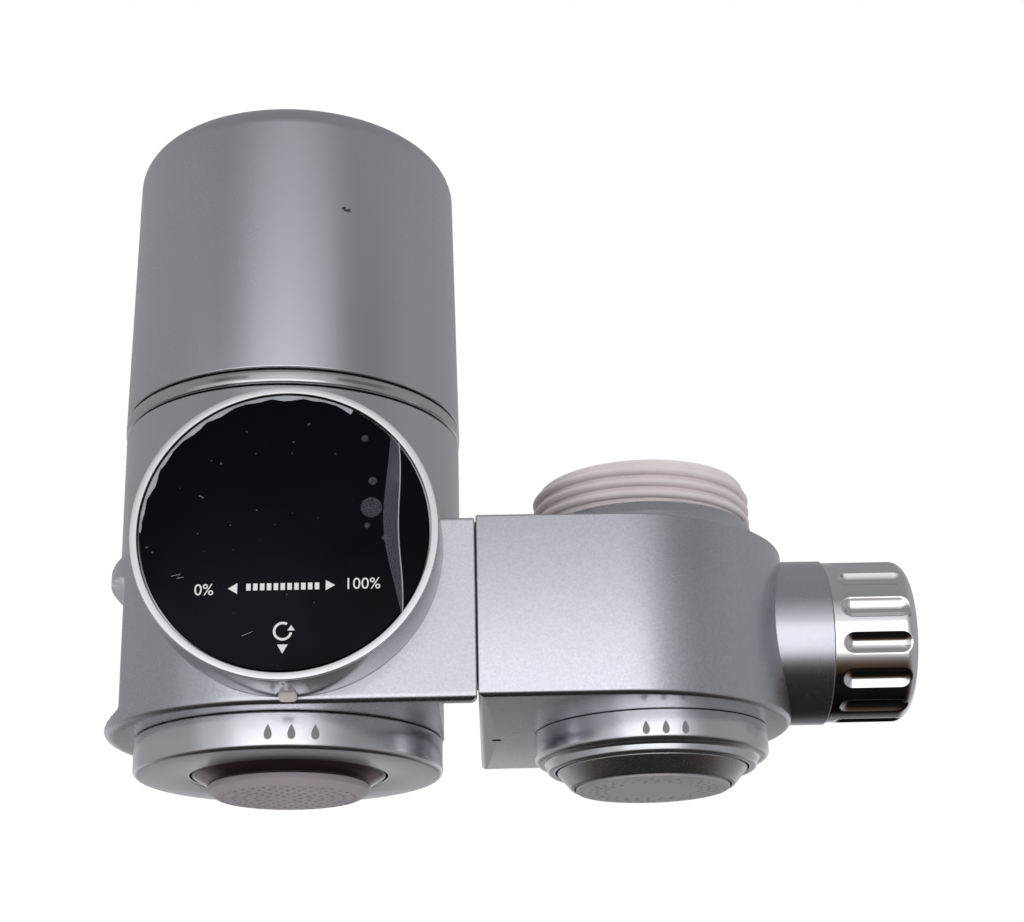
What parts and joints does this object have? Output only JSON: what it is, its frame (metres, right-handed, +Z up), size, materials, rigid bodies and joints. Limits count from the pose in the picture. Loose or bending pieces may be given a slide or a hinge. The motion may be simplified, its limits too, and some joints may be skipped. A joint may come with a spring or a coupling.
{
  "type": "faucet mount water filter",
  "caption": "Tap-end water filter: upright cartridge housing with round display, beside a valve body with threaded inlet, fluted selector knob and two spray outlets underneath.",
  "frame": {"origin": "centre of the threaded inlet's rim, where the tap's water comes in", "axes": "+Z up along the inlet, -Y towards the display side, +X along the valve towards the selector knob"},
  "size_m": [0.1467, 0.0767, 0.1251],
  "materials": {
    "satin_silver": "satin metallic silver paint over moulded plastic",
    "chrome": "bright plated",
    "bezel_silver": "glossy metallic silver paint",
    "dark_satin": "dark metallic paint, half gloss",
    "inlet_plastic": "pale pinkish grey, moulded",
    "grey_plastic": "grey, finely textured",
    "spray_plastic": "pinkish grey, half gloss",
    "clear_plastic": "smoky pinkish, see-through",
    "display_black": "polished black window",
    "reset_plastic": "pale warm grey",
    "board_green": "circuit board with solder mask",
    "rubber": "soft black",
    "white_plastic": "natural white, moulded",
    "carbon_block": "porous pressed carbon",
    "steel": "stainless",
    "brass": "turned"
  },
  "bodies": {
    "filter_unit": {"cartridge_bottom_cap": "white_plastic", "cartridge_core": "white_plastic", "cartridge_spigot_seal": "rubber", "cartridge_top_cap": "white_plastic", "coin_cell": "steel", "coupling_nut": "brass", "coupling_seal_filter_side": "rubber", "coupling_seal_valve_side": "rubber", "coupling_tube": "brass", "cover_seal": "rubber", "cover_trim_ring": "chrome", "display_bezel": "bezel_silver", "display_board": "board_green", "display_window": "display_black", "filter_housing": "satin_silver", "filter_media": "carbon_block", "filtered_gasket": "rubber", "filtered_nozzle": "clear_plastic", "filtered_ring": "satin_silver", "filtered_spray_plate": "spray_plastic", "inlet_collar": "satin_silver", "inlet_strainer": "steel", "inlet_thread": "inlet_plastic", "inlet_washer": "rubber", "neck_seal": "rubber", "neck_sleeve": "satin_silver", "original_cone": "dark_satin", "original_gasket": "rubber", "original_ring": "satin_silver", "original_spray_plate": "grey_plastic", "reset_switch": "rubber", "valve_body": "satin_silver"},
    "selector": {"selector_knob": "chrome", "valve_spindle": "brass", "valve_rotor": "white_plastic", "spindle_seal": "rubber"},
    "cover": {"filter_cover": "satin_silver"},
    "battery_door": {"battery_cap": "satin_silver", "battery_cap_seal": "rubber"},
    "reset": {"reset_button": "reset_plastic"}
  },
  "joints": [
    {"name": "knob_turn", "type": "hinge", "parent": "filter_unit", "child": "selector", "pos_m": [0, 0, -0.0299], "axis": [-1, 0, 0], "range_deg": [0, 90]},
    {"name": "reset_button_press", "type": "slide", "parent": "filter_unit", "child": "reset", "axis": [0, 0, 1], "range_m": [0, 0.0008], "stiffness_N_per_m": 1200, "springref_m": -0.0008},
    {"name": "cover_lift", "type": "slide", "parent": "filter_unit", "child": "cover", "axis": [0, 0, 1], "range_m": [0, 0.055]},
    {"name": "battery_cap_pull", "type": "slide", "parent": "filter_unit", "child": "battery_door", "axis": [-1, 0, 0], "range_m": [0, 0.008]}
  ]
}
